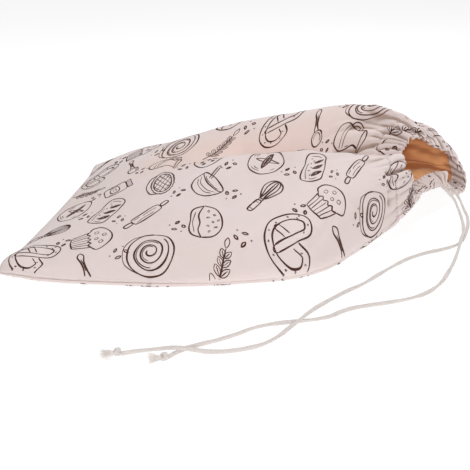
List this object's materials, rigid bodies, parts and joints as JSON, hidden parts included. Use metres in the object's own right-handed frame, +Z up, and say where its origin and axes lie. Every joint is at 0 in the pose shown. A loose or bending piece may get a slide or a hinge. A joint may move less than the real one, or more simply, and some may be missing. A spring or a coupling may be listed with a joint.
{
  "type": "cotton bread bag",
  "caption": "Drawstring bread bag of printed cotton with a tan lining, lying on its side, with a half-drawn ruffled mouth and a knotted drawcord.",
  "frame": {"origin": "on the flat underside where the bag rests, half way along the cut length and between the side seams at the bottom seam", "axes": "+X from the bottom seam to the drawn mouth, +Y across the bag to its far side, +Z up from the surface it lies on"},
  "size_m": [0.3915, 0.4429, 0.0881],
  "materials": {
    "printed_cotton": "matt plain-weave cotton with a thin dark brown line print",
    "tan_lining": "matt tan plain-weave cotton",
    "cotton_cord": "matt off-white twisted cotton cord"
  },
  "bodies": {
    "root": {"outer_front": "printed_cotton", "outer_back": "printed_cotton", "lining_front": "tan_lining", "lining_back": "tan_lining", "cord_left": "cotton_cord", "cord_right": "cotton_cord", "knot_left": "cotton_cord", "knot_right": "cotton_cord"}
  },
  "joints": []
}
